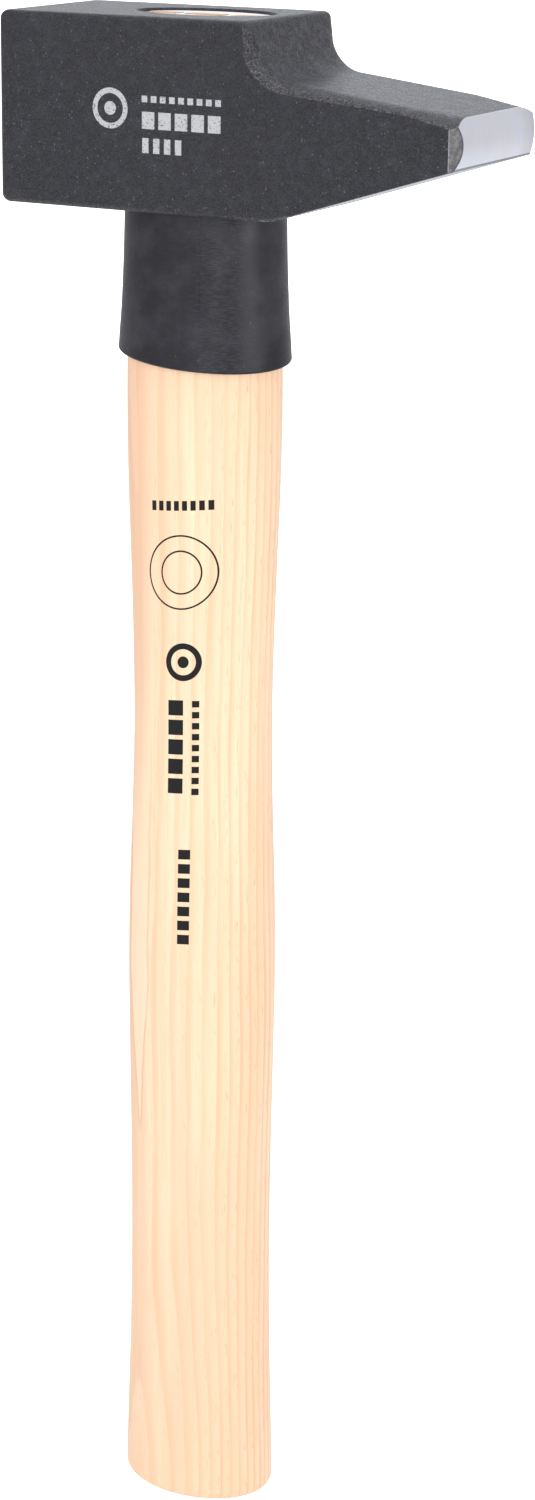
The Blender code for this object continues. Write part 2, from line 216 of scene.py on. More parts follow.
def slabRings(points, edges, halfDepth, steps):
    # at each point the side is moved in by down x (1 - sin turn), or down x cos^2 turn where the
    # edge is crowned, while y = half depth - across x (1 - cos turn), for turn 0 to 90 degrees
    arriving = points - np.roll(points, 1, 0)
    leaving = np.roll(points, -1, 0) - points
    arriving /= np.linalg.norm(arriving, axis=1, keepdims=True)
    leaving /= np.linalg.norm(leaving, axis=1, keepdims=True)
    first = np.stack([arriving[:, 1], -arriving[:, 0]], -1)
    second = np.stack([leaving[:, 1], -leaving[:, 0]], -1)
    inward = (first + second) / (1 + (first * second).sum(1, keepdims=True))
    turn = (np.pi / 2 * np.arange(steps + 1) / steps)[:, None]
    across, down, crowned = edges.T
    oval, crown = 1 - np.sin(turn), np.cos(turn) ** 2
    inset = down * (oval + crowned * (crown - oval))
    depth = halfDepth - across * (1 - np.cos(turn))
    place = points[None] + inward[None] * inset[..., None]
    front = np.stack([place[..., 0], -depth, place[..., 1]], -1)
    back = np.stack([place[..., 0], depth, place[..., 1]], -1)[::-1]
    return np.concatenate([front, back]) * mm


def eyeHalf(height):
    # from waist to mouth with the square of the distance from mid height
    share = np.clip((2 * (height - headFoot) / (headTop - headFoot) - 1) ** 2, 0, 1)
    waist, mouth = np.array(eyeForm["waist"]), np.array(eyeForm["mouth"])
    return (waist + (mouth - waist) * np.asarray(share)[..., None]) * mm


def crownCutter(form):
    # everything past the arc x = middle + radius cos(turn), z = drop + radius sin(turn)
    radius = form["crownRadius"]
    middle = np.array([headBox[1].x / mm - radius, headTop / mm - form["crownDrop"]])
    turn = np.radians(np.linspace(-form["crownSweep"], form["crownSweep"], form["crownPoints"]))
    arc = middle + radius * np.stack([np.cos(turn), np.sin(turn)], -1)
    along, beyond = middle[0] + form["crownClear"][0], form["crownClear"][1]
    far = np.array([[along, arc[-1, 1] + beyond], [along, arc[0, 1] - beyond]])
    outline = np.concatenate([arc, far])
    plane = np.stack([outline[:, 0], 0 * outline[:, 0], outline[:, 1]], -1) * mm
    return pieceFromRings("crownCutter", prismRings(plane, (0, 1, 0), headBox[1].y * 2))


def cornerCutter(form, side):
    # a prism along Z past the slanting plane x + |y| = tip + half depth - chamfer
    size, tip = form["cutterSize"], headBox[1].x / mm
    edge = headBox[1].y / mm - form["peenChamfer"]
    plan = np.array([[tip + size, edge - size], [tip + size, edge + size], [tip - size, edge + size]])
    middle = (headTop + headFoot) / 2 / mm
    plane = np.stack([plan[:, 0], side * plan[:, 1], np.full(3, middle)], -1) * mm
    return pieceFromRings(f"cornerCutter{side}", prismRings(plane, (0, 0, 1), headTop - headFoot))


def eyeCutter(form):
    # the waisted oval, carried past both faces by a slope of 45 degrees that leaves the chamfers
    inner = np.linspace(headFoot + form["chamfer"] * mm, headTop - form["chamfer"] * mm, form["levels"])
    over = form["overshoot"] * mm
    wide = (np.array(form["mouth"]) + form["chamfer"] + over / mm) * mm
    half = np.concatenate([[wide], eyeHalf(inner), [wide]])
    heights = np.concatenate([[headFoot - over], inner, [headTop + over]])
    return pieceFromRings("eyeCutter", ovalRings(half[:, 0], half[:, 1], heights, form["around"]))


def makeHead(form):
    points, edges = headOutline(form)
    rings = slabRings(points, edges, headBox[1].y / mm, form["edgeSteps"])
    head = pieceFromRings("forgedHead", rings)
    corners = [cornerCutter(form, side) for side in (-1, 1)]
    cutAway(head, [crownCutter(form), *corners, eyeCutter(eyeForm)])
    softShade(head)
    return head


head = makeHead(headForm)
print("head", len(head.data.polygons), "faces")


# handle

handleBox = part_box("handle")
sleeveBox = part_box("guard_sleeve")
handleForm = {
    "oval": 0.75, "buttRound": 2.4, "gripEnd": 264.0, "around": 128, "rows": 150,
    "shoulderHeight": 286.0, "shoulder": (16.0, 11.9), "shoulderFall": 1.6, "fitGap": 0.12,
    # heights above the butt and half widths: butt swell, palm, belly, neck, collar seat
    "heights": [0, 7, 20, 38, 58, 80, 104, 126, 142, 160, 180, 196, 216, 236, 252, 264],
    "widths": [17.6, 17.5, 17.15, 16.65, 16.4, 16.48, 16.8, 17.0, 16.78, 16.15, 15.7, 15.85,
               16.4, 17.05, 17.22, 17.1],
    "kerfTop": 4.0, "kerfFoot": 1.4, "kerfDepth": 31.0, "kerfReach": 30.0, "overshoot": 2.0,
    "ringOuter": 6.3, "ringInner": 4.7, "ringDepth": 15.0, "ringEdge": 0.5, "ringGap": 0.15,
    "ringAround": 64, "tenonRows": 12,
}


def gripWidth(height):
    return smoothCurve(np.asarray(height) / mm, handleForm["heights"], handleForm["widths"]) * mm


def handleRings(form):
    # butt: quarter round; grip: oval with the half width's curve; shoulder and tenon above it
    turn = np.linspace(0, np.pi / 2, 9)
    radius = form["buttRound"] * mm
    buttHeights = radius * (1 - np.cos(turn))
    inset = radius * (1 - np.sin(turn))
    base = gripWidth(np.full(len(turn), radius))
    gripHeights = np.linspace(radius, form["gripEnd"] * mm, form["rows"])[1:]
    grip = gripWidth(gripHeights)
    tenonLow, tenonHigh = headFoot + eyeForm["chamfer"] * mm, handleBox[1].z
    tenonHeights = np.linspace(tenonLow, tenonHigh, form["tenonRows"])
    tenon = eyeHalf(tenonHeights) - form["fitGap"] * mm
    shoulder = np.array(form["shoulder"]) * mm
    heights = np.concatenate([
        buttHeights, gripHeights, [form["shoulderHeight"] * mm],
        [(form["shoulderHeight"] + form["shoulderFall"]) * mm], tenonHeights,
    ])
    lengths = np.concatenate([base - inset, grip, [shoulder[0]], [tenon[0, 0]], tenon[:, 0]])
    widths = np.concatenate([
        base * form["oval"] - inset, grip * form["oval"], [shoulder[1]], [tenon[0, 1]], tenon[:, 1],
    ])
    return ovalRings(lengths, widths, heights, form["around"])


def kerfCutter(form):
    # a slot along X, narrowing from its top width to its foot width
    top = handleBox[1].z
    slope = (form["kerfTop"] - form["kerfFoot"]) / form["kerfDepth"]
    over = form["overshoot"]
    high, low = form["kerfTop"] / 2 + slope * over / 2, form["kerfFoot"] / 2
    levels = top / mm + np.array([-form["kerfDepth"], -form["kerfDepth"], over, over])
    plane = np.stack([np.zeros(4), [-low, low, high, -high], levels], -1) * mm
    return pieceFromRings("kerfCutter", prismRings(plane, (1, 0, 0), form["kerfReach"] * mm))


def ringCutter(form):
    # the steel ring's wedge section, wider by the gap, carried round Z
    top, gap = handleBox[1].z / mm, form["ringGap"]
    above, below = top + form["overshoot"], top - form["ringDepth"] - gap
    middle = (form["ringOuter"] + form["ringInner"]) / 2
    radii = [form["ringInner"] - gap, middle - form["ringEdge"] / 2 - gap,
             middle + form["ringEdge"] / 2 + gap, form["ringOuter"] + gap]
    levels = [above, below, below, above]
    radii, levels = np.array(radii) * mm, np.array(levels) * mm
    rings = ovalRings(radii, radii, levels, form["ringAround"])
    return pieceFromRings("ringCutter", rings, joined=True)


def makeHandle(form):
    handle = pieceFromRings("hickoryHandle", handleRings(form))
    cutAway(handle, [kerfCutter(form), ringCutter(form)])
    softShade(handle, 40)
    return handle


handle = makeHandle(handleForm)
print("handle", len(handle.data.polygons), "faces")


# guard sleeve

def makeSleeve(form):
    # outside: tapered oval whose lower rim follows the rim wave; inside: the grip plus a gap
    bottom, top = form["rimHeight"] * mm, sleeveBox[1].z
    share = np.linspace(0, 1, form["rows"])
    lengths = smoothCurve(share, form["shares"], form["lengths"]) * mm
    widths = smoothCurve(share, form["shares"], form["widths"]) * mm
    heights = bottom + (top - bottom) * share
    wave = mm * (1 - share) ** 2
    turn = np.linspace(0, np.pi / 2, 6)
    rounding = form["rimRound"] * mm
    rimIn, rimUp = rounding * (1 - np.sin(turn)), rounding * (1 - np.cos(turn))
    heights = np.concatenate([bottom + rimUp, heights[1:]])
    lengths = np.concatenate([lengths[0] - rimIn, lengths[1:]])
    widths = np.concatenate([widths[0] - rimIn, widths[1:]])
    wave = np.concatenate([np.full(len(turn), wave[0]), wave[1:]])
    gap = form["gap"] * mm
    throat = eyeHalf(headFoot + eyeForm["chamfer"] * mm) + gap
    seat = np.array(handleForm["shoulder"]) * mm + gap
    seatHeight = handleForm["shoulderHeight"] * mm
    lipFoot = seatHeight + (handleForm["shoulderFall"] + form["lipRise"]) * mm
    innerHeights = np.array([top, lipFoot, seatHeight, handleForm["gripEnd"] * mm, bottom])
    grip = gripWidth(innerHeights[3:])
    innerLengths = np.concatenate([[throat[0], throat[0], seat[0]], grip + gap])
    innerWidths = np.concatenate([[throat[1], throat[1], seat[1]], grip * handleForm["oval"] + gap])
    innerWave = np.array([0, 0, 0, 0, mm])
    rings = ovalRings(
        np.concatenate([lengths, innerLengths]), np.concatenate([widths, innerWidths]),
        np.concatenate([heights, innerHeights]), form["around"], np.concatenate([wave, innerWave]),
    )
    sleeve = pieceFromRings("guardSleeve", rings, joined=True)
    softShade(sleeve, 40)
    return sleeve


sleeve = makeSleeve(sleeveForm)
print("sleeve", len(sleeve.data.polygons), "faces")


# shader helpers

def fromScreen(red, green, blue):
    # screen colour 0 to 255 to linear
    share = np.array([red, green, blue]) / 255
    linear = np.where(share <= 0.04045, share / 12.92, ((share + 0.055) / 1.055) ** 2.4)
    return (*linear.tolist(), 1.0)


def put(tree, socket, value):
    if isinstance(value, bpy.types.NodeSocket):
        tree.links.new(value, socket)
    else:
        socket.default_value = value


def calc(tree, operation, *values):
    node = tree.nodes.new("ShaderNodeMath")
    node.operation = operation
    for socket, value in zip(node.inputs, values):
        put(tree, socket, value)
    return node.outputs[0]


def times(tree, *values):
    product = values[0]
    for value in values[1:]:
        product = calc(tree, "MULTIPLY", product, value)
    return product


def plus(tree, first, second):
    return calc(tree, "ADD", first, second)


def less(tree, first, second):
    return calc(tree, "SUBTRACT", first, second)


def unsigned(tree, value):
    return calc(tree, "ABSOLUTE", value)


def calcVector(tree, operation, first, second):
    node = tree.nodes.new("ShaderNodeVectorMath")
    node.operation = operation
    put(tree, node.inputs[0], first)
    put(tree, node.inputs["Scale" if operation == "SCALE" else 1], second)
    return node.outputs[0]


def between(tree, share, low, high):
    return plus(tree, low, times(tree, less(tree, high, low), share))


def lengthOf(tree, across, up):
    # square root of the sum of both squares
    squares = [calc(tree, "POWER", unsigned(tree, side), 2.0) for side in (across, up)]
    return calc(tree, "SQRT", plus(tree, *squares))


def rise(tree, value, low, high, toLow=0.0, toHigh=1.0):
    # smooth step of the value from low to high
    node = tree.nodes.new("ShaderNodeMapRange")
    node.interpolation_type = "SMOOTHSTEP"
    for name, given in (("Value", value), ("From Min", low), ("From Max", high),
                        ("To Min", toLow), ("To Max", toHigh)):
        put(tree, node.inputs[name], given)
    return node.outputs["Result"]


def blendColour(tree, share, low, high):
    # a share of 0 gives low, 1 gives high; plain colours are given as screen values
    node = tree.nodes.new("ShaderNodeMix")
    node.data_type = "RGBA"
    put(tree, node.inputs["Factor"], share)
    for slot, colour in ((6, low), (7, high)):
        put(tree, node.inputs[slot], fromScreen(*colour) if isinstance(colour, tuple) else colour)
    return node.outputs[2]


def noise(tree, where, scale, detail=2.0, roughness=0.5):
    node = tree.nodes.new("ShaderNodeTexNoise")
    names = ("Vector", "Scale", "Detail", "Roughness")
    for name, given in zip(names, (where, scale, detail, roughness)):
        put(tree, node.inputs[name], given)
    return node.outputs["Fac"]


def stretched(tree, where, factors, detail=2.0, roughness=0.5):
    # noise on a place multiplied by the three factors: a small factor draws it out that way
    node = tree.nodes.new("ShaderNodeMapping")
    put(tree, node.inputs["Vector"], where)
    node.inputs["Scale"].default_value = factors
    return noise(tree, node.outputs["Vector"], 1.0, detail, roughness)


def newGroup(name, inputs, outputs):
    tree = bpy.data.node_groups.new(name, "ShaderNodeTree")
    for label, kind, default in inputs:
        socket = tree.interface.new_socket(label, in_out="INPUT", socket_type=kind)
        if default is not None:
            socket.default_value = default
    for label, kind in outputs:
        tree.interface.new_socket(label, in_out="OUTPUT", socket_type=kind)
    return tree, tree.nodes.new("NodeGroupInput").outputs, tree.nodes.new("NodeGroupOutput").inputs


def useGroup(tree, group, **given):
    node = tree.nodes.new("ShaderNodeGroup")
    node.node_tree = group
    for label, value in given.items():
        put(tree, node.inputs[label], value)
    return node.outputs


number, vector = "NodeSocketFloat", "NodeSocketVector"


def makeMillimetres():
    # Object coordinates in millimetres, and as x, y, z; the surface's own normal as x, y, z
    tree, _, out = newGroup("millimetres", [], [
        ("Place", vector), ("X", number), ("Y", number), ("Z", number),
        ("NormalX", number), ("NormalY", number), ("NormalZ", number)])
    place = calcVector(tree, "SCALE", tree.nodes.new("ShaderNodeTexCoord").outputs["Object"], 1000.0)
    put(tree, out["Place"], place)
    normal = tree.nodes.new("ShaderNodeNewGeometry").outputs["Normal"]
    for source, labels in ((place, "XYZ"), (normal, ("NormalX", "NormalY", "NormalZ"))):
        split = tree.nodes.new("ShaderNodeSeparateXYZ")
        put(tree, split.inputs[0], source)
        for i, label in enumerate(labels):
            put(tree, out[label], split.outputs[i])
    return tree


def makeSpecks():
    # Grain: two fine noises averaged and stretched to full contrast; Specks: small round cells of a
    # Voronoi pattern, kept only where its random colour is above 1 - cover
    tree, given, out = newGroup("specks", [
        ("Place", vector, None), ("Size", number, 0.35), ("Cover", number, 0.2)],
        [("Grain", number), ("Specks", number)])
    scale = calc(tree, "DIVIDE", 1.0, given["Size"])
    fine = noise(tree, given["Place"], scale, 1.5, 0.6)
    shifted = calcVector(tree, "ADD", given["Place"], (31.7, 12.3, 5.1))
    coarse = noise(tree, shifted, times(tree, scale, 0.45), 2.0, 0.6)
    both = plus(tree, times(tree, fine, 0.8), times(tree, coarse, 0.2))
    put(tree, out["Grain"], rise(tree, both, 0.38, 0.64))
    cells = tree.nodes.new("ShaderNodeTexVoronoi")
    put(tree, cells.inputs["Vector"], given["Place"])
    put(tree, cells.inputs["Scale"], times(tree, scale, 0.5))
    near = rise(tree, cells.outputs["Distance"], 0.34, 0.2)
    chance = tree.nodes.new("ShaderNodeSeparateXYZ")
    put(tree, chance.inputs[0], cells.outputs["Color"])
    limit = less(tree, 1.0, given["Cover"])
    kept = rise(tree, chance.outputs[0], limit, plus(tree, limit, 0.03))
    put(tree, out["Specks"], times(tree, near, kept))
    return tree


def makeBlockRow():
    # a printed row: 1 inside the box, cut along its length into a number of blocks with gaps
    tree, given, out = newGroup("blockRow", [
        ("Along", number, 0.0), ("Across", number, 0.0), ("HalfLength", number, 5.0),
        ("HalfWidth", number, 1.0), ("Blocks", number, 5.0), ("Fill", number, 0.7)],
        [("Mask", number)])
    inLength = rise(tree, less(tree, given["HalfLength"],
                               unsigned(tree, given["Along"])), -0.03, 0.03)
    inWidth = rise(tree, less(tree, given["HalfWidth"],
                              unsigned(tree, given["Across"])), -0.03, 0.03)
    share = calc(tree, "DIVIDE", plus(tree, given["Along"], given["HalfLength"]),
                 times(tree, given["HalfLength"], 2.0))
    cell = calc(tree, "FRACT", times(tree, share, given["Blocks"]))
    fromMiddle = unsigned(tree, less(tree, cell, 0.5))
    inBlock = rise(tree, less(tree, times(tree, given["Fill"], 0.5), fromMiddle),
                   -0.015, 0.015)
    put(tree, out["Mask"], times(tree, times(tree, inLength, inWidth), inBlock))
    return tree


def makeRingMark():
    # a printed circle: 1 where the distance from its middle is within half the line of its radius
    tree, given, out = newGroup("ringMark", [
        ("Along", number, 0.0), ("Across", number, 0.0), ("Radius", number, 3.0),
        ("HalfLine", number, 0.3)], [("Mask", number)])
    off = unsigned(tree, less(tree, lengthOf(tree, given["Along"], given["Across"]), given["Radius"]))
    put(tree, out["Mask"], rise(tree, less(tree, given["HalfLine"], off), -0.03, 0.03))
    return tree


def makeWoodGrain():
    # rings: distance from a pith line plus a slow wander, in steps of the spacing, each darkening
    # towards its end; pores and fibres: noise drawn out along Z
    tree, given, out = newGroup("woodGrain", [
        ("Place", vector, None), ("PithX", number, 40.0), ("PithY", number, 40.0),
        ("Spacing", number, 2.5), ("Wander", number, 3.0)],
        [("Ring", number), ("Late", number), ("Pores", number), ("Fibre", number), ("Zone", number)])
    split = tree.nodes.new("ShaderNodeSeparateXYZ")
    put(tree, split.inputs[0], given["Place"])
    fromPith = [less(tree, split.outputs[i], given[name])
                for i, name in enumerate(("PithX", "PithY"))]
    distance = calc(tree, "SQRT", plus(tree, times(tree, fromPith[0], fromPith[0]),
                                       times(tree, fromPith[1], fromPith[1])))
    slow = stretched(tree, given["Place"], (0.035, 0.035, 0.011), 1.5, 0.4)
    quick = stretched(tree, given["Place"], (0.25, 0.25, 0.02), 2.0, 0.5)
    wander = plus(tree, times(tree, less(tree, slow, 0.5), given["Wander"]),
                  times(tree, less(tree, quick, 0.5), 0.9))
    steps = calc(tree, "DIVIDE", plus(tree, distance, wander), given["Spacing"])
    phase = calc(tree, "FRACT", steps)
    put(tree, out["Ring"], phase)
    strength = rise(tree, stretched(tree, given["Place"], (0.5, 0.5, 0.015), 2.0), 0.3, 0.7, 0.3, 1.0)
    late = times(tree, rise(tree, phase, 0.45, 0.93), rise(tree, phase, 1.0, 0.93))
    put(tree, out["Late"], times(tree, late, strength))
    pore = stretched(tree, given["Place"], (4.4, 4.4, 0.3), 1.0, 0.5)
    early = rise(tree, phase, 0.75, 0.1)
    put(tree, out["Pores"], times(tree, rise(tree, pore, 0.60, 0.70), early))
    put(tree, out["Fibre"], stretched(tree, given["Place"], (2.4, 2.4, 0.03), 3.0, 0.6))
    put(tree, out["Zone"], stretched(tree, given["Place"], (0.06, 0.06, 0.008), 2.0, 0.5))
    return tree


millimetres, specks, blockRow, ringMark, woodGrain = (
    makeMillimetres(), makeSpecks(), makeBlockRow(), makeRingMark(), makeWoodGrain())


def newMaterial(name):
    material = bpy.data.materials.new(name)
    material.use_nodes = True
    tree = material.node_tree
    return material, tree, tree.nodes["Principled BSDF"], useGroup(tree, millimetres)


def bumped(tree, shader, height, strength, distance):
    bump = tree.nodes.new("ShaderNodeBump")
    bump.inputs["Strength"].default_value = strength
    bump.inputs["Distance"].default_value = distance
    put(tree, bump.inputs["Height"], height)
    put(tree, shader.inputs["Normal"], bump.outputs["Normal"])


def grainOf(tree, place, look):
    pithX, pithY = look["pith"]
    return useGroup(tree, woodGrain, Place=place["Place"], PithX=pithX, PithY=pithY,
                    Spacing=look["spacing"], Wander=look["wander"])


def specksOf(tree, place, look):
    return useGroup(tree, specks, Place=place["Place"],
                    Size=look["speckSize"], Cover=look["speckCover"])


def joinMasks(tree, masks):
    # the largest of the masks
    joined = masks[0]
    for mask in masks[1:]:
        joined = calc(tree, "MAXIMUM", joined, mask)
    return joined


def blockRows(tree, along, across, rows):
    # rows: middle along, middle across, half length, half width, blocks, fill
    return [useGroup(tree, blockRow, Along=less(tree, along, a),
                     Across=less(tree, across, b),
                     HalfLength=length, HalfWidth=width, Blocks=count, Fill=fill)["Mask"]
            for a, b, length, width, count, fill in rows]


def ringMarks(tree, along, across, rings):
    # rings: middle along, middle across, radius, half line
    return [useGroup(tree, ringMark, Along=less(tree, along, a),
                     Across=less(tree, across, b), Radius=radius, HalfLine=line)["Mask"]
            for a, b, radius, line in rings]


# head: powder coat, worn edges with a painted edge highlight, painted highlight blotches, glints and
# lines, ground steel with a painted shade underneath, silver print

coatLook = {
    "coat": (40, 41, 52), "coatLight": (108, 109, 118), "coatDark": (1, 1, 2),
    "wornAndLit": (150, 147, 147), "print": (192, 192, 196),
    "speckSize": 0.3, "speckCover": 0.11, "speckShare": 0.5, "cloudShare": 0.08,
    # wear and the painted edge highlight grow along X between these two, from the block's share to the
    # step's and peen's
    "wearAndHighlightAlong": (16.0, 21.0), "wornAndLitBlock": 0.12, "wornAndLitStep": 0.7,
    # shares of the painted highlight blotches and glints
    "highlightBlotchShare": 0.4, "paintedGlintShare": 0.4,
    "steel": (216, 219, 229), "steelWarm": (220, 213, 219), "scratched": (150, 152, 160),
    "facetLight": (118, 117, 119), "facetDark": (84, 83, 85),
    # the underside colour and its share are a painted shade on the down-facing ground steel
    "underside": (120, 124, 136), "burrColour": (70, 71, 78),
    "warmShare": 0.5, "scratchShare": 0.2, "undersideShare": 0.6,
    "grindStart": 30.0, "grindRagged": 3.0, "highlightLineWidth": 0.12, "edgeHighlightShare": 0.5,
    "burr": 0.5, "burrShare": 0.7, "footLine": (-25.9, -26.02), "footShare": 0.75, "farShare": 0.35,
    "coatRoughness": 0.45, "steelRoughness": 0.3, "bumpStrength": 0.9, "bumpHeight": 0.00045,
    # middle along X, middle from the top, half length, half width, blocks, fill
    "rows": [(4.8, -16.1, 9.4, 0.65, 9.0, 0.62), (4.8, -20.3, 9.4, 1.7, 5.0, 0.76),
             (0.4, -25.3, 5.0, 1.5, 4.0, 0.58)],
    # middle along X, middle from the top, radius, half line
    "rings": [(-11.5, -18.3, 3.5, 0.55), (-11.5, -18.3, 0.0, 1.35)],
}


def coatColour(tree, place, fine, broad, look):
    # grain from dark to light; specks, clouds, rubbed edges with a painted edge highlight, and painted
    # highlight blotches and glints are laid over it
    turned = unsigned(tree, place["NormalY"])
    past = rise(tree, place["X"], *look["wearAndHighlightAlong"])
    coat = blendColour(tree, fine["Grain"], look["coatDark"], look["coat"])
    coat = blendColour(tree, times(tree, fine["Specks"], look["speckShare"]), coat, look["coatLight"])
    clouds = rise(tree, broad, 0.4, 0.75, 0.0, look["cloudShare"])
    coat = blendColour(tree, clouds, coat, look["coatLight"])
    # the front and back edges are rubbed where the normal turns off Y; the same light colour also
    # paints an edge highlight there
    onEdge = times(tree, rise(tree, turned, 0.16, 0.5), rise(tree, turned, 0.99, 0.8))
    ragged = rise(tree, noise(tree, place["Place"], 2.4, 4.0, 0.75), 0.38, 0.72)
    ragged = times(tree, ragged, plus(tree, times(tree, fine["Grain"], 0.6), 0.4))
    wearAndHighlight = plus(tree, times(tree, past, look["wornAndLitStep"]), look["wornAndLitBlock"])
    coat = blendColour(tree, times(tree, onEdge, ragged, wearAndHighlight), coat, look["wornAndLit"])
    # painted highlights: light blotches and glinting grain on the faces past the step that turn off the
    # front, the step's hollow and the peen's top
    facingUp = times(tree, rise(tree, turned, 0.6, 0.2), past)
    highlightBlotches = rise(tree, noise(tree, place["Place"], 0.5, 5.0, 0.75), 0.44, 0.68, 0.0, look["highlightBlotchShare"])
    paintedGlints = rise(tree, fine["Grain"], 0.5, 1.0, 0.0, look["paintedGlintShare"])
    for share in (highlightBlotches, paintedGlints):
        coat = blendColour(tree, times(tree, share, facingUp), coat, look["coatLight"])
    return coat


def headPrint(tree, place, below, look):
    # rows of blocks and rings, on the front cheek only, with small gaps in the ink
    marks = joinMasks(tree, blockRows(tree, place["X"], below, look["rows"])
                      + ringMarks(tree, place["X"], below, look["rings"]))
    inked = rise(tree, noise(tree, place["Place"], 3.0, 2.0, 0.6), 0.30, 0.42)
    return times(tree, marks, rise(tree, place["NormalY"], -0.9, -0.97), inked)


def groundAreas(tree, place, look):
    # masks of the crowned end, its corner facets, the sloping underside and all bare steel, and
    # inside: crown radius minus the distance from the crown's axis
    x, turned = place["X"], unsigned(tree, place["NormalY"])
    tip = headBox[1].x / mm
    atEnd = times(tree, rise(tree, x, tip - 15.5, tip - 14.5), rise(tree, place["NormalX"], 0.40, 0.46))
    facet = times(tree, atEnd, rise(tree, turned, 0.5, 0.6))
    under = times(tree, rise(tree, place["NormalZ"], -0.80, -0.88),
                  rise(tree, place["NormalX"], 0.2, 0.26))
    jitter = times(tree, less(tree, noise(tree, place["Place"], 0.8, 3.0), 0.5), look["grindRagged"])
    start = look["grindStart"]
    begun = rise(tree, plus(tree, x, jitter), start - 0.3, start + 0.3)
    # painted highlights: thin lines of bare steel where the coat meets the crown and beside the facets,
    # standing for the edges catching the light
    radius, line = headForm["crownRadius"], look["highlightLineWidth"]
    fromAxis = lengthOf(tree, less(tree, x, tip - radius),
                        less(tree, place["Z"], headTop / mm - headForm["crownDrop"]))
    inside = less(tree, radius, fromAxis)
    rim = times(tree, rise(tree, inside, line, line * 0.4), rise(tree, x, tip - 10.5, tip - 9.5))
    beside = unsigned(tree, less(tree, x, tip - headForm["peenChamfer"] - line / 2))
    edgeHighlight = times(tree, rise(tree, beside, line, line * 0.4),
                     rise(tree, turned, 0.97, 0.99, 0.0, look["edgeHighlightShare"]))
    # bare steel here includes the painted highlight lines
    bare = joinMasks(tree, [atEnd, times(tree, under, begun), rim, edgeHighlight])
    return {"atEnd": atEnd, "facet": facet, "under": under, "inside": inside, "bare": bare}


def steelColour(tree, place, below, ground, scratch, look):
    # bright steel with warm clouds and scratches, mottled facets, a painted shade on the underside,
    # burr lines
    cloud = noise(tree, place["Place"], 0.14, 1.0, 0.4)
    warm = rise(tree, cloud, 0.35, 0.7, 0.0, look["warmShare"])
    steel = blendColour(tree, warm, look["steel"], look["steelWarm"])
    scratched = rise(tree, scratch, 0.5, 0.8, 0.0, look["scratchShare"])
    steel = blendColour(tree, scratched, steel, look["scratched"])
    mottle = rise(tree, noise(tree, place["Place"], 1.3, 4.0, 0.7), 0.35, 0.65)
    facetColour = blendColour(tree, mottle, look["facetDark"], look["facetLight"])
    steel = blendColour(tree, ground["facet"], steel, facetColour)
    # painted shade: the downward sloping underside gets a darker, bluer copy of the ground steel
    under = times(tree, ground["under"], look["undersideShare"])
    steel = blendColour(tree, under, steel, look["underside"])
    # burr: where the facet meets the crown, along the crown's foot, and scratches at the far end
    turned = unsigned(tree, place["NormalY"])
    nearCrown = rise(tree, ground["inside"], look["burr"], 0.05)
    shade = joinMasks(tree, [
        times(tree, ground["facet"], nearCrown, look["burrShare"]),
        times(tree, ground["atEnd"], rise(tree, below, *look["footLine"]),
              rise(tree, turned, 0.4, 0.3), look["footShare"]),
        times(tree, rise(tree, place["Y"], 10.0, 17.0), look["farShare"], scratch),
    ])
    return blendColour(tree, shade, steel, look["burrColour"])


def makeHeadCoat(look):
    material, tree, shader, place = newMaterial("powderCoatedSteel")
    below = less(tree, place["Z"], headTop / mm)
    fine = specksOf(tree, place, look)
    broad = noise(tree, place["Place"], 0.45, 3.0, 0.6)
    scratch = stretched(tree, place["Place"], (0.3, 5.0, 0.25), 3.0, 0.65)
    ground = groundAreas(tree, place, look)
    bare = ground["bare"]
    coat = coatColour(tree, place, fine, broad, look)
    coat = blendColour(tree, headPrint(tree, place, below, look), coat, look["print"])
    steel = steelColour(tree, place, below, ground, scratch, look)
    put(tree, shader.inputs["Base Color"], blendColour(tree, bare, coat, steel))
    put(tree, shader.inputs["Metallic"], bare)
    coatRough = plus(tree, look["coatRoughness"], times(tree, fine["Specks"], -0.12))
    steelRough = plus(tree, look["steelRoughness"], times(tree, scratch, 0.12))
    steelRough = plus(tree, steelRough, times(tree, ground["facet"], 0.2))
    put(tree, shader.inputs["Roughness"], between(tree, bare, coatRough, steelRough))
    coatHeight = plus(tree, times(tree, fine["Grain"], 0.35), times(tree, broad, 0.4))
    height = between(tree, bare, coatHeight, times(tree, scratch, 0.06))
    bumped(tree, shader, height, look["bumpStrength"], look["bumpHeight"])
    return material


# handle: lacquered hickory with black print

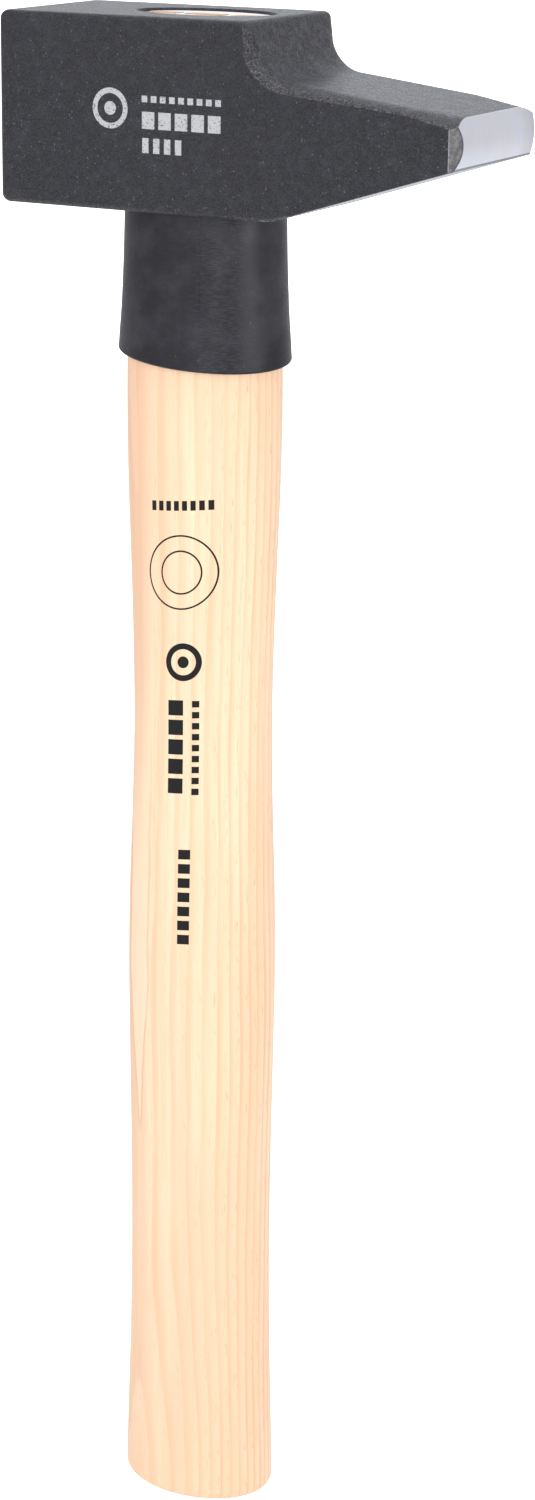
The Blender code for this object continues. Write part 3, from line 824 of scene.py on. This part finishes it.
woodLook = {
    "cream": (249, 222, 190), "tan": (240, 202, 166), "pink": (247, 204, 174), "flush": (240, 192, 156),
    "late": (222, 174, 136), "pore": (186, 134, 92), "ink": (4, 4, 5), "endGlare": (240, 236, 242),
    "pith": (33.0, 50.0), "spacing": 1.9, "wander": 4.5, "printTilt": 0.105,
    "rightSide": (4.0, 16.0), "rightShadeShare": 0.15, "leftSide": (-6.0, -16.0), "leftPinkAndShadeShare": 0.55,
    "bandShare": 0.5, "fibreShare": 0.5, "ringShare": 0.2,
    # share on the left, and what the right side adds
    "lateShare": (0.32, 0.35), "poreShare": (0.18, 0.3),
    "glareFrom": (310.0, 320.0), "glareShare": 0.8, "lacquer": 0.15, "lacquerRoughness": 0.3,
    "specular": 0.3, "bumpStrength": 0.25, "bumpHeight": 0.0001,
    # the pale tongue of grain: middle, widest half width, tip height, full height, faded height
    "tongue": (-10.2, 3.4, 86.0, 140.0, 195.0), "tongueShare": 0.75, "tongueLine": 0.55,
    # middle along, middle across, half length, half width, blocks, fill
    "rows": [(1.3, 230.2, 7.5, 1.05, 8.0, 0.62)],
    "columns": [(177.7, -0.2, 10.8, 1.8, 5.0, 0.78), (177.5, 4.4, 10.9, 0.8, 9.0, 0.6),
                (144.2, 2.2, 11.2, 1.4, 7.0, 0.68)],
    # middle across, middle up, radius, half line
    "rings": [(1.2, 215.9, 7.9, 0.19), (1.2, 215.9, 4.6, 0.19),
              (1.6, 196.4, 3.5, 0.65), (1.6, 196.4, 0.0, 1.3)],
}


def grainColour(tree, place, grain, look):
    # zones of cream and pink, a painted shade on the right side, a pinker left side that is partly
    # painted shade, bands, fibres, rings, late wood and pores, one over another
    rightSide = rise(tree, place["X"], *look["rightSide"])
    lateShare, poreShare = [plus(tree, times(tree, rightSide, added), least)
                            for least, added in (look["lateShare"], look["poreShare"])]
    bands = stretched(tree, place["Place"], (0.42, 0.42, 0.012), 2.0, 0.6)
    colour = blendColour(tree, rise(tree, grain["Zone"], 0.35, 0.65), look["cream"], look["pink"])
    for share, name in (
        # painted shade: the right side is darkened to tan; the left side turns to flush, partly the
        # wood's pink and partly painted shade
        (times(tree, rightSide, look["rightShadeShare"]), "tan"),
        (rise(tree, place["X"], *look["leftSide"], 0.0, look["leftPinkAndShadeShare"]), "flush"),
        (rise(tree, bands, 0.42, 0.68, 0.0, look["bandShare"]), "tan"),
        (rise(tree, grain["Fibre"], 0.35, 0.75, 0.0, look["fibreShare"]), "tan"),
        (times(tree, grain["Ring"], look["ringShare"]), "late"),
        (times(tree, grain["Late"], lateShare), "late"),
        (times(tree, grain["Pores"], poreShare), "pore"),
    ):
        colour = blendColour(tree, share, colour, look[name])
    return colour


def paleTongue(tree, place, colour, look):
    # half width = widest x root of the share of the height between tip and full; the edge wobbles
    middle, widest, tip, full, faded = look["tongue"]
    wobble = less(tree, stretched(tree, place["Place"], (0.1, 0.1, 0.05)), 0.5)
    halfWidth = times(tree, calc(tree, "SQRT", rise(tree, place["Z"], tip, full)), widest)
    off = unsigned(tree, plus(tree, less(tree, place["X"], middle), times(tree, wobble, 3.0)))
    within = less(tree, halfWidth, off)
    shown = times(tree, rise(tree, place["Z"], faded, full), rise(tree, place["NormalY"], 0.2, -0.1))
    pale = times(tree, rise(tree, within, 0.0, 0.6), shown, look["tongueShare"])
    border = times(tree, rise(tree, unsigned(tree, within), 0.5, 0.0), shown,
                   rise(tree, place["Z"], tip - 1.0, tip + 4.0, 0.0, look["tongueLine"]))
    return blendColour(tree, border, blendColour(tree, pale, colour, look["cream"]), look["late"])


def makeHickory(look):
    material, tree, shader, place = newMaterial("lacqueredHickory")
    grain = grainOf(tree, place, look)
    colour = paleTongue(tree, place, grainColour(tree, place, grain, look), look)
    # the print sits a little turned on the front of the grip
    up = less(tree, place["Z"], times(tree, place["X"], look["printTilt"]))
    marks = joinMasks(tree, blockRows(tree, place["X"], up, look["rows"])
                      + blockRows(tree, up, place["X"], look["columns"])
                      + ringMarks(tree, place["X"], up, look["rings"]))
    marks = times(tree, marks, rise(tree, place["NormalY"], -0.2, -0.4))
    # painted reflection: the top end, in the eye, is coloured pale for the glare off its flat end
    glaringEnd = times(tree, rise(tree, place["NormalZ"], 0.6, 0.8),
                   rise(tree, place["Z"], *look["glareFrom"]))
    colour = blendColour(tree, times(tree, glaringEnd, look["glareShare"]), colour, look["endGlare"])
    put(tree, shader.inputs["Base Color"], blendColour(tree, marks, colour, look["ink"]))
    put(tree, shader.inputs["Roughness"], rise(tree, grain["Fibre"], 0.3, 0.7, 0.42, 0.55))
    put(tree, shader.inputs["Coat Weight"], times(tree, less(tree, 1.0, marks), look["lacquer"]))
    shader.inputs["Coat Roughness"].default_value = look["lacquerRoughness"]
    shader.inputs["Specular IOR Level"].default_value = look["specular"]
    height = less(tree, times(tree, grain["Fibre"], 0.5), grain["Pores"])
    bumped(tree, shader, height, look["bumpStrength"], look["bumpHeight"])
    return material


# sleeve: matt black plastic

plasticLook = {
    "base": (19, 19, 29), "scuffed": (84, 84, 90), "seamColour": (8, 8, 10),
    "underRimShade": (4, 4, 5), "nick": (110, 110, 116),
    # the mould line's X and half width; the X where the band of handling scuffs and painted highlight
    # begins, and where it ends
    "seam": (5.9, 0.2), "scuffsAndHighlightBegin": (3.0, 7.5), "scuffsAndHighlightEnd": (15.6, 13.4),
    "scuffedHighlightBandShare": 0.22, "leastShare": 0.08, "cloudShare": 0.2, "nickShare": 0.25, "seamShare": 0.6,
    "speckSize": 0.3, "speckCover": 0.03, "specular": 0.35, "bumpStrength": 0.3, "bumpHeight": 0.00025,
}


def makePlastic(look):
    material, tree, shader, place = newMaterial("mattBlackPlastic")
    drawn = stretched(tree, place["Place"], (0.7, 0.7, 4.2), 4.0, 0.7)
    cloud = noise(tree, place["Place"], 0.12, 3.0, 0.55)
    nicks = specksOf(tree, place, look)
    seamAt, seamHalf = look["seam"]
    seamLine = times(tree, rise(tree, unsigned(tree, less(tree, place["X"], seamAt)), seamHalf, 0.0),
                     rise(tree, place["NormalY"], 0.0, -0.5))
    # the band is lighter: handling scuffs, and a painted highlight on the front of the sleeve
    scuffedHighlightBand = times(tree, rise(tree, place["X"], *look["scuffsAndHighlightBegin"]),
                    rise(tree, place["X"], *look["scuffsAndHighlightEnd"]))
    scuffsAndHighlight = times(tree, rise(tree, drawn, 0.42, 0.72),
                   plus(tree, times(tree, scuffedHighlightBand, look["scuffedHighlightBandShare"]), look["leastShare"]))
    colour = blendColour(tree, scuffsAndHighlight, look["base"], look["scuffed"])
    for share, name in (
        (times(tree, seamLine, look["seamShare"]), "seamColour"),
        # painted shade: faces turning down at the lower rim are darkened nearly to black
        (rise(tree, place["NormalZ"], -0.15, -0.6), "underRimShade"),
        (rise(tree, cloud, 0.4, 0.7, 0.0, look["cloudShare"]), "scuffed"),
        (times(tree, nicks["Specks"], look["nickShare"]), "nick"),
    ):
        colour = blendColour(tree, share, colour, look[name])
    put(tree, shader.inputs["Base Color"], colour)
    put(tree, shader.inputs["Roughness"], rise(tree, drawn, 0.3, 0.75, 0.36, 0.52))
    shader.inputs["Specular IOR Level"].default_value = look["specular"]
    height = less(tree, times(tree, drawn, 0.25), times(tree, seamLine, 0.6))
    bumped(tree, shader, height, look["bumpStrength"], look["bumpHeight"])
    return material


# wedges: end-grain beech and a rolled steel ring

beechLook = {
    "early": (222, 176, 128), "late": (172, 120, 78), "pore": (140, 92, 58),
    "pith": (4.0, 60.0), "spacing": 1.1, "wander": 1.0, "bumpStrength": 0.3, "bumpHeight": 0.0001,
}
ringLook = {
    "dark": (176, 178, 184), "light": (214, 216, 222), "speck": (110, 108, 106),
    "speckSize": 0.3, "speckCover": 0.2, "bumpStrength": 0.15, "bumpHeight": 0.0001,
}


def makeWedgeWood(look):
    material, tree, shader, place = newMaterial("wedgeBeech")
    grain = grainOf(tree, place, look)
    colour = blendColour(tree, grain["Late"], look["early"], look["late"])
    colour = blendColour(tree, grain["Pores"], colour, look["pore"])
    put(tree, shader.inputs["Base Color"], colour)
    put(tree, shader.inputs["Roughness"], rise(tree, grain["Fibre"], 0.3, 0.7, 0.5, 0.7))
    bumped(tree, shader, grain["Fibre"], look["bumpStrength"], look["bumpHeight"])
    return material


def makeRingSteel(look):
    material, tree, shader, place = newMaterial("rolledRingSteel")
    fine = specksOf(tree, place, look)
    streak = stretched(tree, place["Place"], (1.5, 1.5, 0.2), 3.0, 0.6)
    colour = blendColour(tree, streak, look["dark"], look["light"])
    put(tree, shader.inputs["Base Color"], blendColour(tree, fine["Specks"], colour, look["speck"]))
    shader.inputs["Metallic"].default_value = 1.0
    put(tree, shader.inputs["Roughness"], rise(tree, streak, 0.3, 0.7, 0.28, 0.45))
    bumped(tree, shader, fine["Grain"], look["bumpStrength"], look["bumpHeight"])
    return material


head.data.materials.clear()
head.data.materials.append(makeHeadCoat(coatLook))
handle.data.materials.clear()
handle.data.materials.append(makeHickory(woodLook))
sleeve.data.materials.append(makePlastic(plasticLook))
for node, finish in (("wood_wedge", makeWedgeWood(beechLook)), ("ring_wedge", makeRingSteel(ringLook))):
    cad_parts[node].material_slots[0].material = finish
print("materials made")

for piece, node, finish in (
    (head, "head", "head_coat"),
    (handle, "handle", "handle_wood"),
    (sleeve, "guard_sleeve", "sleeve_plastic"),
):
    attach(piece, "root")
    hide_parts(node)


# floor, lights and camera

studio = {
    # the floor glows a little for the object, and more where the camera sees it
    "world": 0.5, "floorColour": (0.8, 0.8, 0.8), "floorRoughness": 0.9,
    "floorGlow": 0.28, "floorSeen": 1.0,
    "sweepFront": -2.5, "sweepBack": 1.6, "sweepRadius": 0.6, "sweepHeight": 2.2, "sweepHalf": 3.0,
    # name, place, aimed at, size, watts, colour
    "lights": [
        ("keyLight", (-0.45, -1.1, 0.75), (0.0, 0.0, 0.16), 0.8, 5.2, (1.0, 1.0, 1.0)),
        ("topLight", (0.15, -0.15, 1.5), (0.0, 0.0, 0.3), 0.8, 6.2, (0.86, 0.92, 1.0)),
        ("backLight", (-0.95, 1.7, 0.8), (0.0, 0.0, 0.3), 1.4, 7.0, (0.88, 0.93, 1.0)),
        ("rightLight", (0.95, -0.40, 0.35), (0.0, 0.0, 0.2), 0.5, 3.6, (1.0, 1.0, 1.0)),
        ("frontLight", (0.40, -1.15, 0.45), (0.0, 0.0, 0.25), 0.2, 1.8, (1.0, 1.0, 1.0)),
    ],
}


def makeFloor(look):
    # flat to the back, then a quarter turn upwards and a wall: one sheet carried along X
    turn = np.linspace(0, np.pi / 2, 17)
    radius, back = look["sweepRadius"], look["sweepBack"]
    y = np.concatenate([[look["sweepFront"]], back + radius * np.sin(turn), [back + radius]])
    z = np.concatenate([[0.0], radius * (1 - np.cos(turn)), [look["sweepHeight"]]])
    x = np.linspace(-look["sweepHalf"], look["sweepHalf"], 13)
    points = np.stack(np.broadcast_arrays(x[None], y[:, None], z[:, None]), -1).reshape(-1, 3)
    rows, columns = len(y), len(x)
    i, j = np.meshgrid(np.arange(rows - 1), np.arange(columns - 1), indexing="ij")
    near, far = i * columns + j, (i + 1) * columns + j
    quads = np.stack([near, near + 1, far + 1, far], -1)
    mesh = bpy.data.meshes.new("studioSweep")
    mesh.from_pydata(points.tolist(), [], quads.reshape(-1, 4).tolist())
    mesh.shade_smooth()
    floor = bpy.data.objects.new("studioSweep", mesh)
    bpy.context.scene.collection.objects.link(floor)
    material, tree, shader, place = newMaterial("palePaper")
    shader.inputs["Base Color"].default_value = (*look["floorColour"], 1.0)
    shader.inputs["Roughness"].default_value = look["floorRoughness"]
    shader.inputs["Emission Color"].default_value = (1.0, 1.0, 1.0, 1.0)
    seen = tree.nodes.new("ShaderNodeLightPath").outputs["Is Camera Ray"]
    glow = plus(tree, times(tree, seen, look["floorSeen"]), look["floorGlow"])
    put(tree, shader.inputs["Emission Strength"], glow)
    mesh.materials.append(material)
    return floor


def addLight(name, place, target, size, watts, colour):
    light = bpy.data.lights.new(name, "AREA")
    light.shape, light.size, light.energy, light.color = "DISK", size, watts, colour
    lamp = bpy.data.objects.new(name, light)
    lamp.location = place
    lamp.rotation_euler = (Vector(target) - Vector(place)).to_track_quat("-Z", "Y").to_euler()
    bpy.context.scene.collection.objects.link(lamp)


cameraForm = {
    "place": (0.32763, -0.59711, 0.37698), "turn": 27.579, "pitch": -16.588, "roll": 0.635,
    "lens": 78.93, "sensor": 36.0, "clip": (0.01, 50.0),
}


def addCamera(eye):
    # ahead comes from turn and pitch; right and up are then rolled about it
    data = bpy.data.cameras.new("camera")
    data.lens, data.sensor_width, data.sensor_fit = eye["lens"], eye["sensor"], "AUTO"
    data.clip_start, data.clip_end = eye["clip"]
    camera = bpy.data.objects.new("camera", data)
    turn, pitch, roll = [math.radians(eye[name]) for name in ("turn", "pitch", "roll")]
    level = math.cos(pitch)
    ahead = Vector((-math.sin(turn) * level, math.cos(turn) * level, math.sin(pitch)))
    right = ahead.cross(Vector((0, 0, 1))).normalized()
    up = right.cross(ahead)
    tiltedRight = right * math.cos(roll) + up * math.sin(roll)
    tiltedUp = up * math.cos(roll) - right * math.sin(roll)
    turned = camera.matrix_world.to_3x3()
    turned.col[0], turned.col[1], turned.col[2] = tiltedRight, tiltedUp, -ahead
    camera.matrix_world = turned.to_4x4()
    camera.location = eye["place"]
    bpy.context.scene.collection.objects.link(camera)
    bpy.context.scene.camera = camera


makeFloor(studio)
for light in studio["lights"]:
    addLight(*light)
addCamera(cameraForm)
world = bpy.data.worlds.new("softRoom")
world.use_nodes = True
world.node_tree.nodes["Background"].inputs["Color"].default_value = (1.0, 1.0, 1.0, 1.0)
world.node_tree.nodes["Background"].inputs["Strength"].default_value = studio["world"]
bpy.context.scene.world = world
bpy.context.scene.view_settings.view_transform = "Standard"
print("studio ready")

bpy.context.view_layer.update()
